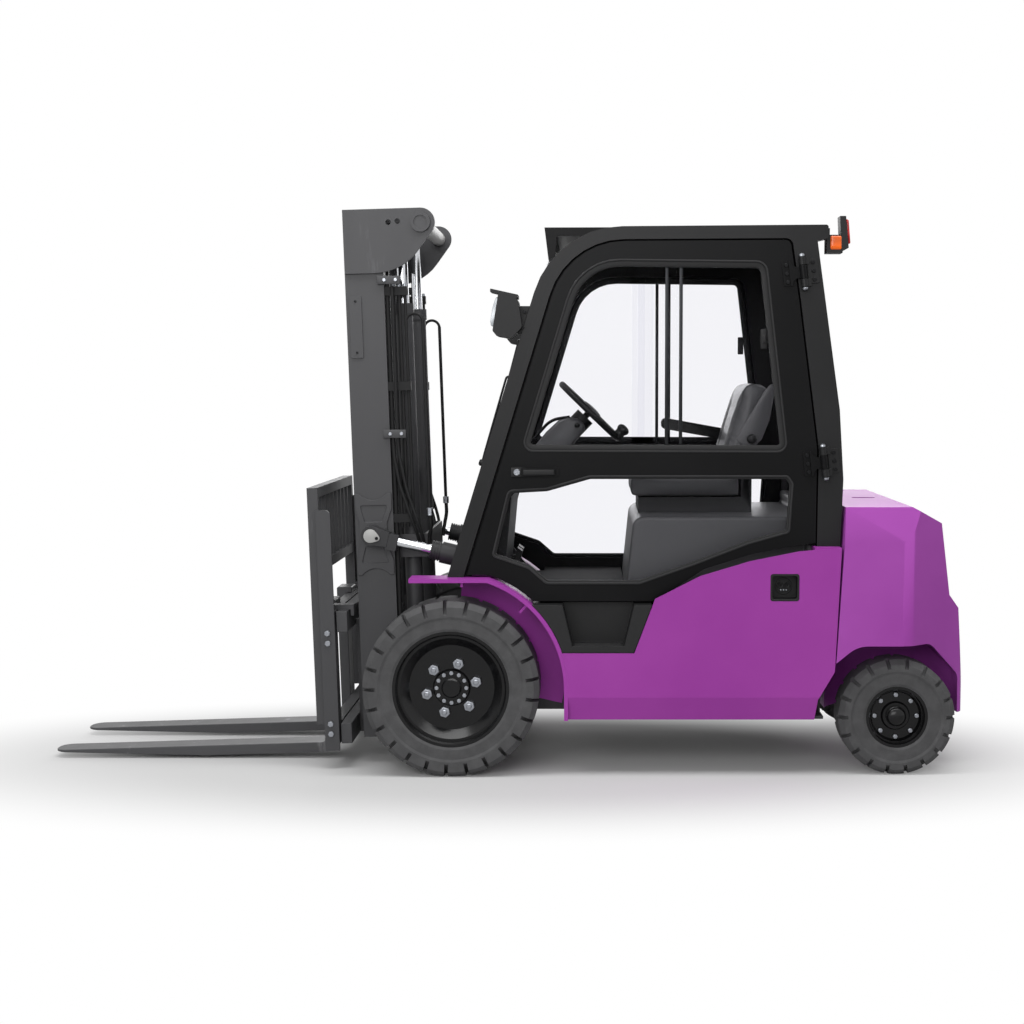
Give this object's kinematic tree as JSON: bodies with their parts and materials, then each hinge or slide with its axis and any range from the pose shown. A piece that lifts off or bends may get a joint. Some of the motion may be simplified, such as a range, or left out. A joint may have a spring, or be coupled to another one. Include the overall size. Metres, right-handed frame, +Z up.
{
  "type": "electric counterbalance forklift",
  "caption": "Electric forklift with a closed cab, two-stage mast with side shift, tilt cylinders, steered rear wheels and hinged doors.",
  "frame": {"origin": "on the floor, under the middle of the bounding box", "axes": "+X forward towards the fork tips, +Y to the driver's left, +Z up"},
  "size_m": [3.807, 1.23, 2.2889],
  "materials": {
    "purple_paint": "semi-gloss purple paint",
    "black_paint": "semi-gloss black paint",
    "mast_paint": "satin dark grey paint",
    "charcoal_steel": "dull charcoal paint",
    "battery_case": "coated case",
    "cast_purple": "purple paint on cast iron",
    "black_plastic": "grained black plastic",
    "grey_plastic": "grained grey plastic",
    "tyre_rubber": "charcoal solid rubber",
    "hose_rubber": "black hose",
    "rim_paint": "gloss black paint",
    "chrome_rod": "hard chrome",
    "bare_steel": "oiled steel",
    "cab_glass": "clear safety glass",
    "pale_paint": "satin light grey paint",
    "seat_cover": "black woven cover"
  },
  "bodies": {
    "chassis": {"side_frames": "purple_paint", "frame_core": "charcoal_steel", "steps": "black_plastic", "counterweight": "cast_purple", "battery": "battery_case", "drive_axle": "charcoal_steel", "steer_axle": "charcoal_steel", "cab_sides": "black_paint", "roof": "black_paint", "windscreen": "cab_glass", "front_panel": "black_paint", "rear_window": "cab_glass", "cab_floor": "black_plastic", "seat_console": "grey_plastic", "seat_mount": "charcoal_steel", "seat_cushion": "seat_cover", "seat_back": "seat_cover", "armrest": "black_plastic", "dash": "black_plastic", "pedals": "black_plastic", "work_lamps": "black_plastic", "tail_lamps": "black_plastic", "charge_socket": "black_plastic", "tow_pin": "charcoal_steel"},
    "front_wheel_left": {"front_tyre_left": "tyre_rubber", "front_rim_left": "rim_paint"},
    "front_wheel_right": {"front_tyre_right": "tyre_rubber", "front_rim_right": "rim_paint"},
    "steer_knuckle_left": {"knuckle_left": "charcoal_steel"},
    "steer_knuckle_right": {"knuckle_right": "charcoal_steel"},
    "rear_wheel_left": {"rear_tyre_left": "tyre_rubber", "rear_rim_left": "rim_paint"},
    "rear_wheel_right": {"rear_tyre_right": "tyre_rubber", "rear_rim_right": "rim_paint"},
    "cab_door_left": {"door_left": "black_paint", "door_glass_left": "cab_glass"},
    "cab_door_right": {"door_right": "black_paint", "door_glass_right": "cab_glass"},
    "hand_wheel": {"steering_wheel": "black_plastic"},
    "mast": {"outer_mast": "mast_paint", "head_tube": "pale_paint", "mast_brackets": "mast_paint", "lift_cylinders": "mast_paint", "mast_hoses": "hose_rubber"},
    "mast_stage": {"inner_mast": "mast_paint", "lift_rods": "chrome_rod", "chain_sheaves": "bare_steel", "lift_chains": "bare_steel"},
    "lift_carriage": {"carriage": "mast_paint"},
    "shift_frame": {"side_shifter": "mast_paint", "forks": "mast_paint", "load_backrest": "mast_paint"},
    "tilt_tube_left": {"tilt_barrel_left": "charcoal_steel"},
    "tilt_tube_right": {"tilt_barrel_right": "charcoal_steel"},
    "tilt_ram_left": {"tilt_rod_left": "chrome_rod", "tilt_eye_left": "charcoal_steel"},
    "tilt_ram_right": {"tilt_rod_right": "chrome_rod", "tilt_eye_right": "charcoal_steel"}
  },
  "joints": [
    {"name": "front_left_wheel", "type": "hinge", "parent": "chassis", "child": "front_wheel_left", "pos_m": [0.19649, 0.501, 0.355], "axis": [0, 1, 0], "continuous": true},
    {"name": "front_right_wheel", "type": "hinge", "parent": "chassis", "child": "front_wheel_right", "pos_m": [0.19649, -0.501, 0.355], "axis": [0, 1, 0], "continuous": true},
    {"name": "steer_left", "type": "hinge", "parent": "chassis", "child": "steer_knuckle_left", "pos_m": [-1.60051, 0.415, 0.235], "axis": [0, 0, 1], "range_deg": [-65, 65]},
    {"name": "rear_left_wheel", "type": "hinge", "parent": "steer_knuckle_left", "child": "rear_wheel_left", "pos_m": [-1.60051, 0.49, 0.235], "axis": [0, 1, 0], "continuous": true},
    {"name": "steer_right", "type": "hinge", "parent": "chassis", "child": "steer_knuckle_right", "pos_m": [-1.60051, -0.415, 0.235], "axis": [0, 0, 1], "range_deg": [-65, 65]},
    {"name": "rear_right_wheel", "type": "hinge", "parent": "steer_knuckle_right", "child": "rear_wheel_right", "pos_m": [-1.60051, -0.49, 0.235], "axis": [0, 1, 0], "continuous": true},
    {"name": "mast_tilt", "type": "hinge", "parent": "chassis", "child": "mast", "pos_m": [0.19649, 0, 0.355], "axis": [0, 1, 0], "range_deg": [-11.75, 4.25]},
    {"name": "tilt_swing_left", "type": "hinge", "parent": "chassis", "child": "tilt_tube_left", "pos_m": [0.02749, 0.42, 0.838], "axis": [0, 1, 0], "range_deg": [-11.5, 4.3]},
    {"name": "tilt_stroke_left", "type": "slide", "parent": "tilt_tube_left", "child": "tilt_ram_left", "axis": [0.9725, 0, 0.2328], "range_m": [-0.107, 0.04]},
    {"name": "tilt_swing_right", "type": "hinge", "parent": "chassis", "child": "tilt_tube_right", "pos_m": [0.02749, -0.42, 0.838], "axis": [0, 1, 0], "range_deg": [-11.5, 4.3]},
    {"name": "tilt_stroke_right", "type": "slide", "parent": "tilt_tube_right", "child": "tilt_ram_right", "axis": [0.9725, 0, 0.2328], "range_m": [-0.107, 0.04]},
    {"name": "mast_lift", "type": "slide", "parent": "mast", "child": "mast_stage", "axis": [0.0305, 0, 0.9995], "range_m": [0, 1.6]},
    {"name": "carriage_lift", "type": "slide", "parent": "mast_stage", "child": "lift_carriage", "axis": [0.0305, 0, 0.9995], "range_m": [0, 1.6]},
    {"name": "side_shift", "type": "slide", "parent": "lift_carriage", "child": "shift_frame", "axis": [0, 1, 0], "range_m": [-0.1, 0.1]},
    {"name": "door_left_swing", "type": "hinge", "parent": "chassis", "child": "cab_door_left", "pos_m": [-1.25101, 0.562, 1.6415], "axis": [0.12, 0, 0.9928], "range_deg": [0, 90]},
    {"name": "door_right_swing", "type": "hinge", "parent": "chassis", "child": "cab_door_right", "pos_m": [-1.25101, -0.562, 1.6415], "axis": [-0.12, 0, -0.9928], "range_deg": [0, 90]},
    {"name": "hand_wheel_turn", "type": "hinge", "parent": "chassis", "child": "hand_wheel", "pos_m": [-0.36051, 0, 1.459], "axis": [-0.6947, 0, 0.7193], "continuous": true}
  ],
  "couplings": [
    {"joint": "steer_right", "follows": "steer_left", "ratio": 1},
    {"joint": "carriage_lift", "follows": "mast_lift", "ratio": 1},
    {"joint": "tilt_swing_left", "follows": "mast_tilt", "ratio": 0.96},
    {"joint": "tilt_stroke_left", "follows": "mast_tilt", "m_per_rad": 0.508},
    {"joint": "tilt_swing_right", "follows": "mast_tilt", "ratio": 0.96},
    {"joint": "tilt_stroke_right", "follows": "mast_tilt", "m_per_rad": 0.508}
  ]
}
